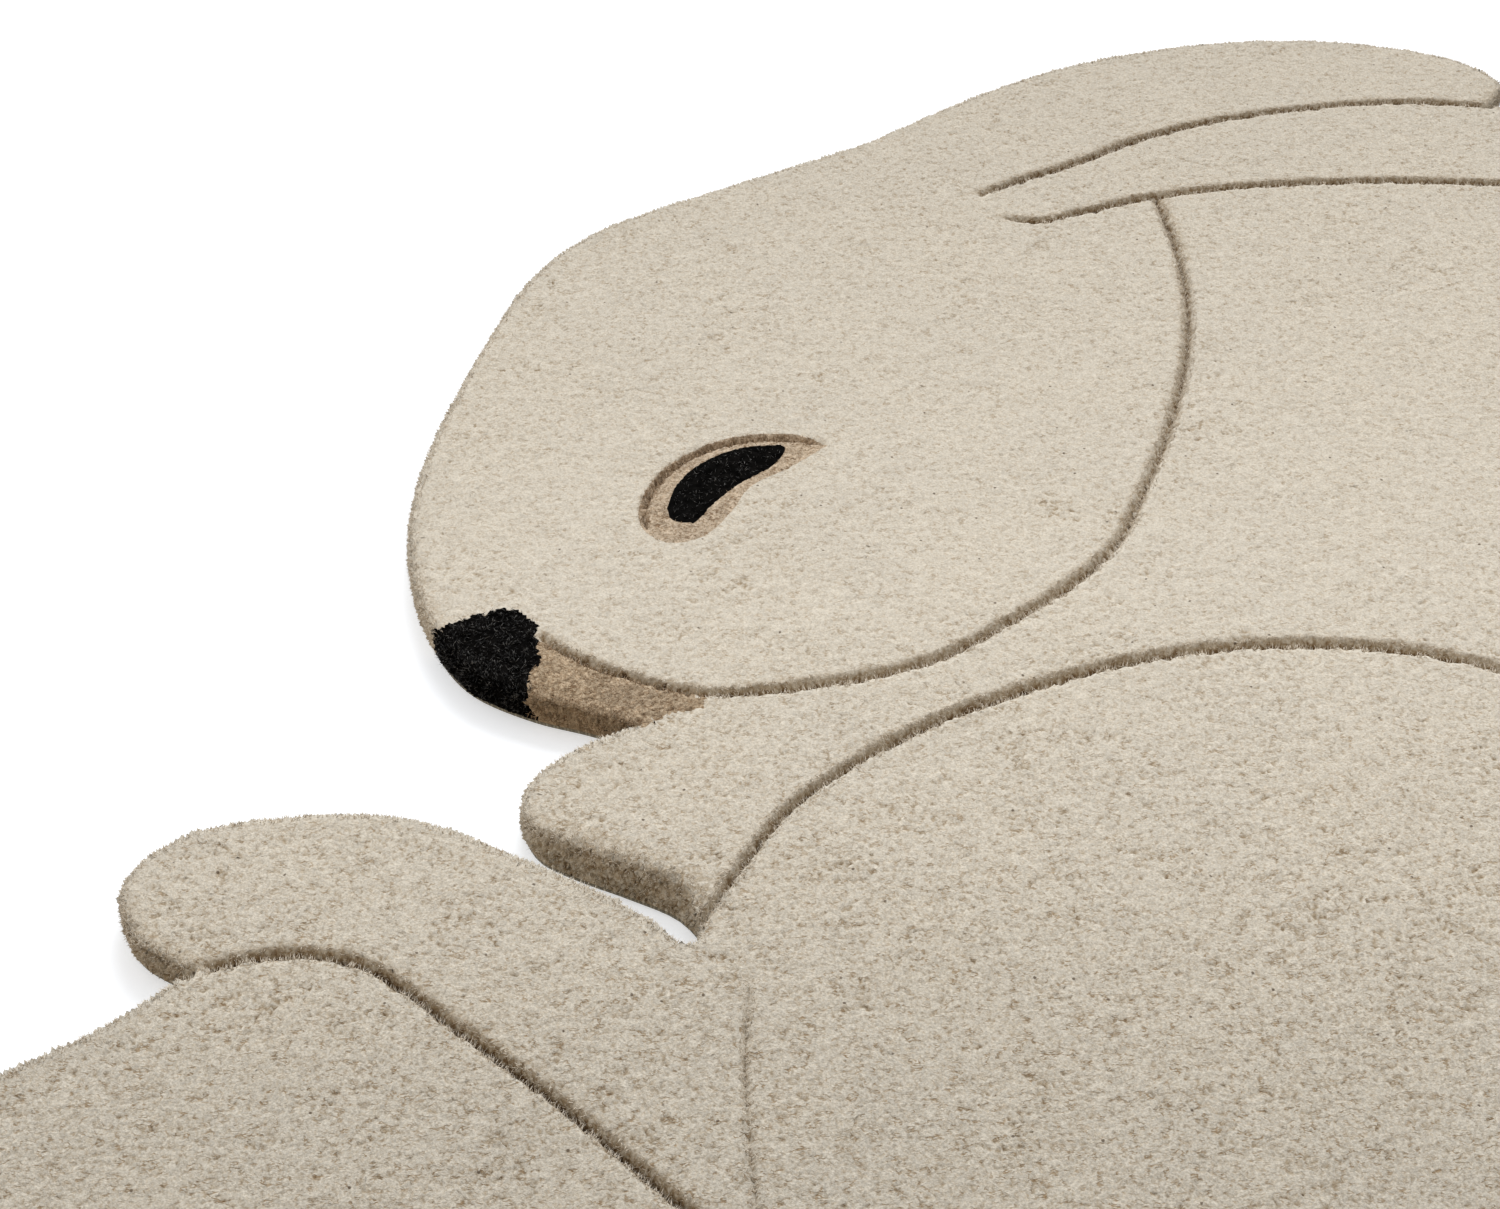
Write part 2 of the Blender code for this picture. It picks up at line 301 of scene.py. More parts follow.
# The pile's section at its edge, from under the field over the rim to the foot: inset, height.
# SECTION_BANK is the forepaw's broad carved bank, which looks towards the haunch.
SECTION_PLAIN = np.array((
    (12.0, 16.8), (9.5, 17.55), (5.6, 17.6), (2.8, 17.3), (1.0, 16.3), (0.2, 14.4), (0.0, 11.6), (0.0, 8.2),
    (0.4, 5.0), (1.0, 2.3))) * MM
SECTION_BANK = np.array((
    (22.0, 16.8), (19.0, 17.6), (14.5, 17.65), (10.2, 17.5), (7.0, 16.4), (4.9, 14.0), (3.3, 11.0),
    (2.2, 7.9), (1.5, 4.9), (1.0, 2.3))) * MM


def where_along(x_mm, y_mm):
    """How far along the outline its point nearest to a place in millimetres is."""
    return outline.measure(np.array([[x_mm, y_mm]]) * MM)[1][0]


BANK_FROM, BANK_FULL = where_along(-207, -283), where_along(-220, -268)
BANK_LAST, BANK_END = where_along(-270, -242), where_along(-287, -222)


def bank_share(along):
    """How much of the forepaw's broad bank there is at a place along the outline."""
    rise = eased((along - BANK_FROM) / (BANK_FULL - BANK_FROM))
    fall = eased((BANK_END - along) / (BANK_END - BANK_LAST))
    return np.minimum(rise, fall)


def groove_share(points):
    """What is left of the pile's height at points, from 0 at the bottom of a carved line to 1."""
    left = np.ones(len(points))
    for name, (left_bank, right_bank, deep, start, end, _) in GROOVES.items():
        line = groove_lines[name]
        off, along = line.measure(points, reach=0.013)
        wobble = 1 + 0.18 * noise(points, 0.009, 41) + 0.38 * noise(points, 0.0034, 43)
        least, widened = THIN_START.get(name, (1.0, 1.0))
        width = np.where(off > 0, left_bank, right_bank) * wobble
        width = width * (least + (1 - least) * eased(along / widened))
        if name == "jaw":
            soft = eased((along - SOFT_FROM) / 0.08)
            width = width * (1 + 0.08 * soft) * (1 - 0.30 * eased((CRISP_TO - along) / 0.05))
            deep = deep * (1 - 0.20 * eased((along - CRISP_TO + 0.01) / 0.05) - 0.14 * soft)
        near = np.clip(1 - np.abs(off) / width, 0, 1)
        drop = 1 - (1 - near ** 1.45) ** (1 / 1.45)
        if start == "fades":
            drop = drop * (0.4 + 0.6 * eased(along / GROOVE_FADE))
            drop = np.where(along <= 0, drop * 0.5, drop)
        if end == "fades":
            drop = drop * (0.4 + 0.6 * eased((line.length - along) / GROOVE_FADE))
        left = np.minimum(left, 1 - drop * deep)
    floor = 1 - GROOVE_DEPTH / (PILE_TOP - PILE_FOOT)
    return floor + (1 - floor) * left


def section_at(u, share):
    """Inset and height of the edge's section at u, from 0 under the field to 1 at the foot."""
    steps = np.linspace(0, 1, len(SECTION_PLAIN))
    plain = [np.interp(u, steps, SECTION_PLAIN[:, k]) for k in range(2)]
    bank = [np.interp(u, steps, SECTION_BANK[:, k]) for k in range(2)]
    return [plain[k] * (1 - share) + bank[k] * share for k in range(2)]


def field_height(inset, share):
    """Height of the field's surface near the edge, where it dives under the edge's own piece."""
    plain = np.interp(inset, (SECTION_PLAIN[1:6, 0])[::-1], (SECTION_PLAIN[1:6, 1])[::-1])
    bank = np.interp(inset, (SECTION_BANK[1:9, 0])[::-1], (SECTION_BANK[1:9, 1])[::-1])
    dive = 0.0010 * eased(1 - (inset - 0.0055 - 0.009 * share) / 0.0025)
    flat = eased((inset - 0.0085 - 0.0095 * share) / 0.004)
    height = plain * (1 - share) + bank * share - dive
    return height * (1 - flat) + PILE_TOP * flat


def undulation(points):
    """How much the pile's top rises and falls from place to place."""
    return 0.00045 * noise(points, 0.085, 21) + 0.00025 * noise(points, 0.030, 22)


# ------------------------ materials
class Nodes:
    """Short ways to add the nodes of a material or a world. Most give the new node's output socket."""

    def __init__(self, owner):
        owner.use_nodes = True
        self.tree = owner.node_tree

    def set_inputs(self, node, inputs):
        """Sets a node's inputs, each to a value or to the output socket that feeds it."""
        for socket, value in inputs.items():
            if isinstance(value, bpy.types.NodeSocket):
                self.tree.links.new(value, node.inputs[socket])
            else:
                node.inputs[socket].default_value = value

    def add(self, kind, inputs=None, **settings):
        node = self.tree.nodes.new(f"ShaderNode{kind}")
        for key, value in settings.items():
            setattr(node, key, value)
        self.set_inputs(node, inputs or {})
        return node

    def place(self, kind="Object"):
        return self.add("TexCoord").outputs[kind]

    def attribute(self, name):
        return self.add("Attribute", attribute_name=name).outputs["Fac"]

    def noise(self, place, scale, detail, roughness=0.5, distortion=0.0, output="Fac"):
        inputs = {"Vector": place, "Scale": scale, "Detail": detail, "Roughness": roughness,
                  "Distortion": distortion}
        return self.add("TexNoise", inputs).outputs[output]

    def math(self, operation, *values, clamp=False):
        return self.add("Math", dict(enumerate(values)), operation=operation, use_clamp=clamp).outputs[0]

    def vector_math(self, operation, *values):
        return self.add("VectorMath", dict(enumerate(values)), operation=operation).outputs[0]

    def part(self, vector, axis):
        return self.add("SeparateXYZ", {"Vector": vector}).outputs[axis]

    def mapped(self, value, low, high, to_low=0.0, to_high=1.0):
        """A value between low and high as one between to_low and to_high."""
        return self.add("MapRange", {"Value": value, "From Min": low, "From Max": high, "To Min": to_low,
                                     "To Max": to_high}).outputs[0]

    def mix(self, factor, a, b, blend="MIX"):
        return self.add("Mix", {0: factor, 6: a, 7: b}, data_type="RGBA", blend_type=blend).outputs[2]

    def times(self, colour, by, amount=1.0):
        return self.mix(amount, colour, by, "MULTIPLY")

    def ramp(self, factor, *stops):
        """The colour of a ramp at factor; each stop is a position and a grey or a colour."""
        node = self.add("ValToRGB", {"Fac": factor})
        while len(node.color_ramp.elements) < len(stops):
            node.color_ramp.elements.new(0.5)
        for element, (position, value) in zip(node.color_ramp.elements, stops):
            element.position = position
            element.color = (*(value if isinstance(value, tuple) else (value,) * 3), 1)
        return node.outputs["Color"]

    def bump(self, strength, distance, height):
        inputs = {"Strength": strength, "Distance": distance, "Height": height}
        return self.add("Bump", inputs).outputs["Normal"]


def new_material(name):
    material = bpy.data.materials.new(name)
    nodes = Nodes(material)
    return material, nodes, nodes.tree.nodes["Principled BSDF"]


BEAD_SCALE = 310          # yarn ends to the metre
BEAD_WANDER = 0.0025      # how far their borders stray, in metres
SHADE_STEPS = 5           # stops of the ramp from full light to the deepest shade, less one


def pile_material(name, warm, cool, fibre_hollow_shade, parting_shade, deepest, fleck, tones, sheen, tint, gloss=0.12,
                  gap_shade=0.0):
    """Cut wool: mottled in large and small, each tuft a little lighter or darker, painted shade at its foot.

    deepest is what is left of the colour in the deepest painted shade. gap_shade is how much painted shade
    the gaps between the yarn ends get in full light: 0 on the cream and black pile.
    """
    material, nodes, shader = new_material(name)
    place = nodes.place()
    tone, pit_shade, shade = (nodes.attribute(key) for key in ("tone", "pit_shade", "shade"))

    # Slow mottling between the two colours, and a finer one in brightness
    middle = nodes.noise(place, 110, 3)
    large = nodes.ramp(nodes.noise(place, 17, 3), (0.36, 0.0), (0.64, 1.0))
    colour = nodes.mix(large, (*warm, 1), (*cool, 1))
    colour = nodes.times(colour, nodes.ramp(middle, (0.3, 0.98), (0.7, 1.015)))

    # Painted shade in streaks where the pile parts. From the feet to the ears they grow fainter,
    # with the fibres' own contrast
    band = nodes.mapped(nodes.part(place, "Y"), -0.45, 0.65)
    least = 1.0 if gap_shade else 0.0
    clear = nodes.ramp(band, (0.08, 1.0), (0.36, max(least, 0.66)), (0.50, max(least, 0.70)),
                       (0.75, max(least, 0.80)))
    creases = nodes.noise(nodes.vector_math("MULTIPLY", place, (0.45, 1.0, 0.6)), 360, 2, 0.6, 0.3)
    parted = nodes.math("MULTIPLY", nodes.ramp(creases, (0.44, 0.0), (0.485, 1.0), (0.505, 1.0), (0.55, 0.0)),
                        nodes.ramp(nodes.noise(place, 270, 1), (0.41, 1.0), (0.54, 0.0)))
    parted = nodes.math("MULTIPLY", parted, nodes.ramp(middle, (0.42, 1.0), (0.60, 0.50)))
    parted = nodes.math("MULTIPLY", parted, clear)
    colour = nodes.times(colour, (*parting_shade, 1), parted)
    # Painted light: lighter across the middle of the rug, darker towards the feet and towards the ears
    colour = nodes.times(colour, nodes.ramp(band, (0.03, 0.93), (0.10, 0.985), (0.19, 1.055), (0.34, 1.09),
                                            (0.50, 1.045), (0.69, 1.0), (0.94, 0.925)))

    # Fibres with painted shade in the hollows between them, tufts and a few dark flecks
    upright = nodes.vector_math("MULTIPLY", place, (1.0, 1.0, 0.35))
    fibres = nodes.noise(upright, 760, 3, 0.7)
    colour = nodes.times(colour, nodes.ramp(nodes.noise(place, 950, 1), (0.3, 0.77), (0.7, 1.10)), clear)
    colour = nodes.times(colour, nodes.ramp(fibres, (0.34, fibre_hollow_shade), (0.52, 1.0)), clear)
    colour = nodes.times(colour, nodes.ramp(tone, (0.0, tones[0]), (1.0, tones[1])))
    seeds = nodes.add("TexVoronoi", {"Vector": place, "Scale": 65}).outputs["Distance"]
    colour = nodes.mix(nodes.ramp(seeds, (0.035, 0.85), (0.06, 0.0)), colour, (*fleck, 1))

    # Painted shade is rough: yarn ends stand lighter, and the gaps between them and between clumps darker
    wander = nodes.noise(place, 300, 2, output="Color")
    wander = nodes.vector_math("MULTIPLY_ADD", wander, (BEAD_WANDER,) * 3, place)
    beads = nodes.add("TexVoronoi", {"Vector": wander, "Scale": BEAD_SCALE},
                      feature="DISTANCE_TO_EDGE").outputs["Distance"]
    gaps = nodes.mapped(beads, 0.0, 0.34, 1.1, -0.8)
    grain = nodes.mapped(nodes.noise(upright, 430, 2, 0.65), 0.37, 0.63, 1.3, -1.3)
    shaded = nodes.math("ADD", shade, gap_shade)
    fuzz = nodes.math("MULTIPLY", shaded, nodes.math("SUBTRACT", 1.25, shaded, clamp=True))
    dark = nodes.math("MULTIPLY_ADD", nodes.math("ADD", gaps, grain), fuzz, shaded, clamp=True)
    dark = nodes.math("ADD", dark, nodes.ramp(pit_shade, (0.10, 0.0), (1.0, 0.45)), clamp=True)
    shares = [step / SHADE_STEPS for step in range(SHADE_STEPS + 1)]
    stops = [(share, tuple(part ** share for part in deepest)) for share in shares]
    colour = nodes.times(colour, nodes.ramp(dark, *stops))

    relief = nodes.math("MULTIPLY_ADD", parted, -0.3, fibres)
    relief = nodes.math("MULTIPLY_ADD", nodes.mapped(beads, 0.0, 0.25, 0.0, 0.8), shade, relief)
    nodes.set_inputs(shader, {
        "Base Color": colour, "Roughness": 0.92, "Specular IOR Level": gloss, "Sheen Weight": sheen,
        "Sheen Roughness": 0.45, "Sheen Tint": (*tint, 1),
        "Normal": nodes.bump(nodes.math("MULTIPLY", clear, 0.72), 0.0010, relief)})
    return material


def cloth_material():
    """Plain woven backing cloth: warp and weft as two crossed waves."""
    material, nodes, shader = new_material("backing_weave")
    wave = {"Vector": nodes.place(), "Scale": 180, "Distortion": 0.6}
    warp, weft = (nodes.add("TexWave", wave, bands_direction=axis).outputs["Fac"] for axis in "XY")
    weave = nodes.math("MULTIPLY", warp, weft)
    share = nodes.ramp(weave, (0.0, 0.0), (0.6, 1.0))
    colour = nodes.mix(share, (0.20, 0.19, 0.16, 1), (0.38, 0.36, 0.30, 1))
    nodes.set_inputs(shader, {"Base Color": colour, "Roughness": 0.9, "Specular IOR Level": 0.1,
                              "Normal": nodes.bump(0.6, 0.0004, weave)})
    return material


def fibre_material(name, colour, other, roughness, specular, split=0.35):
    """Single wool fibres, from one colour to another; a higher split leaves fewer of the other."""
    material, nodes, shader = new_material(name)
    share = nodes.ramp(nodes.noise(nodes.place(), 400, 1), (split, 0.0), (split + 0.3, 1.0))
    nodes.set_inputs(shader, {"Base Color": nodes.mix(share, (*colour, 1), (*other, 1)),
                              "Roughness": roughness, "Specular IOR Level": specular})
    return material


CREAM = pile_material(
    "cream_wool", warm=(0.641, 0.600, 0.519), cool=(0.630, 0.592, 0.516), fibre_hollow_shade=(0.82, 0.77, 0.70),
    parting_shade=(0.60, 0.49, 0.37), deepest=(0.225, 0.146, 0.079), fleck=(0.10, 0.07, 0.045), tones=(0.96, 1.03),
    sheen=0.10, tint=(0.66, 0.60, 0.50))
TAN = pile_material(
    "tan_wool", warm=(0.532, 0.427, 0.304), cool=(0.493, 0.402, 0.295), fibre_hollow_shade=(0.62, 0.53, 0.44),
    parting_shade=(0.50, 0.40, 0.31), deepest=(0.130, 0.102, 0.076), fleck=(0.10, 0.06, 0.03), tones=(0.86, 1.12),
    sheen=0.10, tint=(0.50, 0.37, 0.25), gap_shade=0.08)
EYE_TAN = pile_material(
    "pale_tan_wool", warm=(0.645, 0.538, 0.412), cool=(0.600, 0.508, 0.398), fibre_hollow_shade=(0.62, 0.54, 0.46),
    parting_shade=(0.50, 0.41, 0.32), deepest=(0.130, 0.102, 0.076), fleck=(0.10, 0.06, 0.03), tones=(0.90, 1.08),
    sheen=0.10, tint=(0.50, 0.37, 0.25), gap_shade=0.06)
BLACK = pile_material(
    "black_wool", warm=(0.0034, 0.0031, 0.0029), cool=(0.0028, 0.0027, 0.0026), fibre_hollow_shade=(0.6, 0.6, 0.6),
    parting_shade=(0.6, 0.6, 0.6), deepest=(0.5, 0.5, 0.5), fleck=(0.05, 0.05, 0.05), tones=(0.5, 1.9),
    sheen=0.0, tint=(0.02, 0.02, 0.02), gloss=0.01)
CREAM_FIBRE = fibre_material("cream_fibre", (0.70, 0.63, 0.53), (0.80, 0.73, 0.63), 0.8, 0.15)
TAN_FIBRE = fibre_material("tan_fibre", (0.40, 0.29, 0.19), (0.54, 0.41, 0.29), 0.8, 0.15)
# The black fibres' pale share is a painted glint, on top of their own gloss
BLACK_FIBRE = fibre_material("black_fibre", (0.002, 0.002, 0.002), (0.26, 0.255, 0.245), 0.5, 0.3, 0.50)

# What pieces are made of and stand for: the material, the slot and the CAD node
PILE_KIND = (CREAM, "cream_pile", "pile")
NOSE_KIND = (BLACK, "black_pile", "nose")
MOUTH_KIND = (TAN, "tan_pile", "mouth")
EYE_KIND = (EYE_TAN, "tan_pile", "eye_surround")
PUPIL_KIND = (BLACK, "black_pile", "pupil")
BACKING_KIND = (cloth_material(), "backing_cloth", "backing")


def fibres_of(kind, material):
    """The same slot and node with the material of single fibres."""
    return (material, *kind[1:])


# ------------------------ meshes
def make_piece(name, corners, triangles, kind, normals=(), pit_shade=(), shade=(), tone=()):
    """A mesh piece that rides on the rug and stands for one of its CAD nodes."""
    material, slot, node = kind
    mesh = bpy.data.meshes.new(name)
    mesh.vertices.add(len(corners))
    mesh.vertices.foreach_set("co", np.ascontiguousarray(corners, np.float32).ravel())
    mesh.loops.add(3 * len(triangles))
    mesh.loops.foreach_set("vertex_index", np.ascontiguousarray(triangles, np.int32).ravel())
    mesh.polygons.add(len(triangles))
    mesh.polygons.foreach_set("loop_start", np.arange(0, 3 * len(triangles), 3, dtype=np.int32))
    for key, domain, values in (("pit_shade", "POINT", pit_shade), ("shade", "POINT", shade), ("tone", "FACE", tone)):
        if len(values):
            attribute = mesh.attributes.new(key, "FLOAT", domain)
            attribute.data.foreach_set("value", np.ascontiguousarray(values, np.float32))
    mesh.update(calc_edges=True)
    mesh.validate()
    if len(normals):
        mesh.normals_split_custom_set_from_vertices(normals)
    mesh.materials.append(material)
    piece = bpy.data.objects.new(name, mesh)
    bpy.context.scene.collection.objects.link(piece)
    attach(piece, "root")
    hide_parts(node)
    return piece


def boundary_loops(triangles):
    """The closed rims of a set of triangles, each as an array of vertex numbers in the triangles' sense."""
    edges = np.concatenate([triangles[:, pair] for pair in ([0, 1], [1, 2], [2, 0])]).astype(np.int64)
    size = int(edges.max()) + 1
    keys = edges[:, 0] * size + edges[:, 1]
    back = edges[:, 1] * size + edges[:, 0]
    rim = edges[~np.isin(keys, back)]
    follow = dict(zip(rim[:, 0].tolist(), rim[:, 1].tolist()))
    loops = []
    while follow:
        first, at = follow.popitem()
        loop = [first]
        while at != first:
            loop.append(at)
            at = follow.pop(at)
        loops.append(np.array(loop))
    return loops


def surface_normals(corners, triangles):
    """A surface's directions at its vertices."""
    a, b, c = (corners[triangles[:, k]] for k in range(3))
    across = np.cross(b - a, c - a)
    normals = np.zeros_like(corners)
    for k in range(3):
        for axis in range(3):
            normals[:, axis] += np.bincount(triangles[:, k], across[:, axis], len(corners))
    size = np.linalg.norm(normals, axis=1)
    normals[size < 1e-15] = (0, 0, 1)
    return normals / np.maximum(size, 1e-15)[:, None]


def filled_loops(loops):
    """Triangles that fill the first loop but not the others, facing up, as numbers of their joined points."""
    filled = np.array(tessellate_polygon([[Vector((*p, 0)) for p in loop] for loop in loops]))
    a, b, c = (np.concatenate(loops)[filled[:, k]] for k in range(3))
    turned = (b[:, 0] - a[:, 0]) * (c[:, 1] - a[:, 1]) < (b[:, 1] - a[:, 1]) * (c[:, 0] - a[:, 0])
    filled[turned] = filled[turned][:, ::-1]
    return filled


def closed_patch(triangles, tone, corners, normals, pit_shade, shade, under, at_foot):
    """Sides and a flat underside for a patch of tufts, so that its mesh is closed.

    under gives the underside's place below each vertex; a vertex at the foot is on the underside already.
    """
    used, local = np.unique(triangles, return_inverse=True)
    corners, normals, pit_shade, shade, under, at_foot = (
        values[used] for values in (corners, normals, pit_shade, shade, under, at_foot))
    triangles = local.reshape(-1, 3)
    loops = boundary_loops(triangles)
    count = len(corners)
    new_corners, new_triangles, low_loops = [corners], [triangles], []
    for loop in loops:
        low = np.where(at_foot[loop], loop, count + np.arange(len(loop)))
        count += len(loop)
        new_corners.append(np.column_stack([under[loop], np.full(len(loop), PILE_FOOT)]))
        low_loops.append(low)
        after, low_after = np.roll(loop, -1), np.roll(low, -1)
        first, second = low != loop, low_after != after
        new_triangles.append(np.stack([after, loop, low], 1)[first])
        new_triangles.append(np.stack([after, low, low_after], 1)[second])
    corners = np.concatenate(new_corners)
    outer = [low for low in low_loops if loop_area(corners[low]) > 0]
    holes = [low for low in low_loops if loop_area(corners[low]) <= 0]
    for loop in outer:
        rim = corners[loop][:, :2]
        group = [loop] + [h for h in holes if inside(corners[h][:1, :2], rim)[0]]
        filled = filled_loops([corners[g][:, :2] for g in group])
        new_triangles.append(np.concatenate(group)[filled[:, ::-1]])
    extra = len(corners) - len(pit_shade)
    normals = np.concatenate([normals, np.tile((0.0, 0.0, -1.0), (extra, 1))])
    pit_shade, shade = (np.concatenate([x, np.ones(extra)]) for x in (pit_shade, shade))
    extra = sum(len(t) for t in new_triangles[1:])
    tone = np.concatenate([tone, np.full(extra, 0.5)])
    return corners, np.concatenate(new_triangles), normals, pit_shade, shade, tone


def tuft_triangles(shape, region):
    """The six triangles of every tuft on a sheared lattice, and the tip that each one belongs to.

    The vertices are the tips, by column and row, and then the pits in the upper and in the lower of the two
    triangles beyond each tip. A tuft whose region is 0 isn't there.
    """
    apex = np.arange(shape[0] * shape[1]).reshape(shape)
    up, down = apex + apex.size, apex + 2 * apex.size

    def moved(numbers, columns, rows):
        return np.roll(numbers, (-columns, -rows), (0, 1))
    found, owner = [], []
    for corners in (
        (apex, moved(down, 0, -1), moved(apex, 1, 0), up),
        (apex, up, moved(apex, 0, 1), moved(down, -1, 0)),
        (moved(apex, 1, 0), down, moved(apex, 0, 1), up),
    ):
        q0, q1, q2, q3 = (q.ravel() for q in corners)
        first, second = region[q0] > 0, region[q2] > 0
        found += [np.stack([q0, q1, q3], 1)[first], np.stack([q1, q2, q3], 1)[second]]
        owner += [q0[first], q2[second]]
    return np.concatenate(found), np.concatenate(owner)


def patch_pieces(looks, region, surface, triangles, owner, tones):
    """A closed piece for each region's tufts.

    looks gives each region's piece name and kind, and surface the vertices' places, normals, painted shade in
    the pits, other painted shade, undersides and feet. owner is the tip that each triangle belongs to, and
    tones holds a value for each tip.
    """
    pieces = []
    for number, (name, kind) in sorted(looks.items()):
        mine = region[owner] == number
        corners, found, *values = closed_patch(triangles[mine], tones[owner[mine]], *surface)
        pieces.append(make_piece(name, corners, found, kind, *values))
    return pieces


# ------------------------ the field of tufts
LATTICE_SPAN = 1.30       # half the length of the lattice's two sides, before it is turned
TIP_JITTER, PIT_JITTER = 0.30 * TUFT, 0.22 * TUFT
DRIFT, NEAR_DRIFT = 0.0022, 0.0009
GROOVE_SNAP = 0.0011      # tufts and pits this close to a carved line stand on it
BORDER_SNAP = 0.0040      # pits this close to the eye's borders do, where tufts of both colours meet
BORDER_STEP = 0.0016      # how far the nose's and the mouth's borders stray
NOSE, MOUTH, EYE, PUPIL = 101, 102, 103, 104
BODY, RUMP, HIND_FOOT = 1, 20, 21

rng = np.random.default_rng(7)
columns = rows = int(2 * LATTICE_SPAN / TUFT)
i, j = np.meshgrid(np.arange(columns), np.arange(rows), indexing="ij")
u, v = (i - columns / 2) * TUFT, (j - rows / 2) * TUFT
flat_x, flat_y = u + v / 2, v * math.sqrt(3) / 2
cos_turn, sin_turn = math.cos(LATTICE_TURN), math.sin(LATTICE_TURN)
turn = np.array(((cos_turn, sin_turn), (-sin_turn, cos_turn)))
third = TUFT / math.sqrt(3)


def noise_pair(points, wavelength, seeds):
    return np.stack([noise(points, wavelength, seed) for seed in seeds], 1)


def scattered(x, y, amount):
    """Lattice places turned, drifted and jittered."""
    p = np.stack([x.ravel(), y.ravel()], 1) @ turn
    drift = noise_pair(p, 0.045, (11, 12)) * DRIFT
    near = noise_pair(p, 0.011, (13, 14)) * NEAR_DRIFT
    angle = rng.uniform(0, 2 * math.pi, len(p))
    radius = amount * np.sqrt(rng.uniform(0, 1, len(p)))
    return p + drift + near + np.stack([np.cos(angle), np.sin(angle)], 1) * radius[:, None]


tips = scattered(flat_x, flat_y, TIP_JITTER)
pits_up = scattered(flat_x + TUFT / 2, flat_y + third / 2, PIT_JITTER)
pits_down = scattered(flat_x + TUFT, flat_y + third, PIT_JITTER)

# Which tufts the rug has: a coarse grid of inside and outside, then the exact distance near the edge
LOW, CELL = outline_points.min(0) - 0.02, 0.002
CELLS = np.ceil((outline_points.max(0) + 0.02 - LOW) / CELL).astype(int)
grid_x, grid_y = np.meshgrid(*[LOW[k] + (np.arange(CELLS[k]) + 0.5) * CELL for k in range(2)], indexing="ij")
grid_inside = inside(np.stack([grid_x.ravel(), grid_y.ravel()], 1), outline_points).reshape(CELLS)


def on_grid(points):
    """Whether points lie in the outline, to within a cell."""
    cell = np.floor((points - LOW) / CELL).astype(int)
    good = ((cell >= 0) & (cell < CELLS)).all(1)
    cell = np.clip(cell, 0, CELLS - 1)
    return good & grid_inside[cell[:, 0], cell[:, 1]]


def inset_of(points):
    """Inset from the outline of points inside it, 30 mm where it is more, and the place along it."""
    off, along = outline.measure(points, reach=0.030)
    return np.abs(off), along


wanted = np.nonzero(on_grid(tips))[0]
inset, along = inset_of(tips[wanted])
open_tips = wanted[inset > 0.0052 + 0.0095 * bank_share(along)]

# The tufts and pits closest to a carved line stand on it, so that its bottom is one clean crease
for placed in (tips, pits_up, pits_down):
    for line in groove_lines.values():
        off, line_along = line.measure(placed, reach=GROOVE_SNAP)
        close = np.abs(off) < GROOVE_SNAP
        placed[close] = 0.15 * placed[close] + 0.85 * line.at(line_along[close])

nose_loop = np.concatenate([smooth_line(NOSE_BORDER, 0.004), np.array(NOSE_OUTSIDE) * MM])
mouth_loop = np.concatenate([smooth_line(MOUTH_BORDER, 0.004), np.array(MOUTH_PAW_SIDE + MOUTH_OUTSIDE) * MM])
eye_loop = smooth_line(EYE_BORDER, 0.004)[:-1]
pupil_loop = smooth_line(PUPIL_BORDER + PUPIL_BORDER[:1], 0.004)[:-1]

# The cream fields between the carved lines, as loops of places in millimetres and lines by name
FIELDS = {
    "far_ear": ("far_ear", (360, 480), (340, 620), (60, 620), (-130, 440)),
    "near_ear": ((-21, 315), "near_ear", (470, 346), (470, 500), (350, 490), "-far_ear"),
    "tail": ("tail", (428, -480), (600, -480), (600, -250), (456, -250)),
    "head": ("jaw", (-21, 315), (-35, 345), (-130, 440), (-420, 440), (-420, -97)),
    "forelimb": ((-205, -285), (-188, -322), (-186, -360), (-184, -400), (-184, -450), "-forelimb",
                 (-480, -314), (-480, -200), (-300, -200)),
    "haunch": ("haunch", (316, -386), (300, -600), (-60, -600), (-184, -450), (-184, -400), (-186, -360),
               (-188, -322)),
}


def field_loop(parts):
    made = []
    for part in parts:
        if isinstance(part, str):
            line = groove_lines[part.strip("-")].p[::4]
            made.append(line[::-1] if part.startswith("-") else line)
        else:
            made.append(np.array([part]) * MM)
    return np.concatenate(made)


region = np.zeros(len(tips), int)
region[open_tips] = BODY
looks = {BODY: ("pile_body", PILE_KIND), RUMP: ("pile_rump", PILE_KIND),
         HIND_FOOT: ("pile_hind_foot", PILE_KIND), NOSE: ("nose_pile", NOSE_KIND),
         MOUTH: ("mouth_pile", MOUTH_KIND), EYE: ("eye_pile", EYE_KIND), PUPIL: ("pupil_pile", PUPIL_KIND)}
for number, (name, parts) in enumerate(FIELDS.items(), BODY + 1):
    free = open_tips[region[open_tips] == BODY]
    region[free[inside(tips[free], field_loop(parts))]] = number
    looks[number] = (f"pile_{name}", PILE_KIND)
region[(region == BODY) & (tips[:, 1] < 0.0) & (tips[:, 0] > 0.30)] = RUMP
region[(region == BODY) & (tips[:, 1] < -0.30)] = HIND_FOOT
for number, loop in ((MOUTH, mouth_loop), (NOSE, nose_loop), (EYE, eye_loop), (PUPIL, pupil_loop)):
    step = BORDER_STEP if number in (NOSE, MOUTH) else 0.0
    stepped = tips[open_tips] + step * noise_pair(tips[open_tips], 0.006, (51, 52))
    region[open_tips[inside(stepped, loop)]] = number

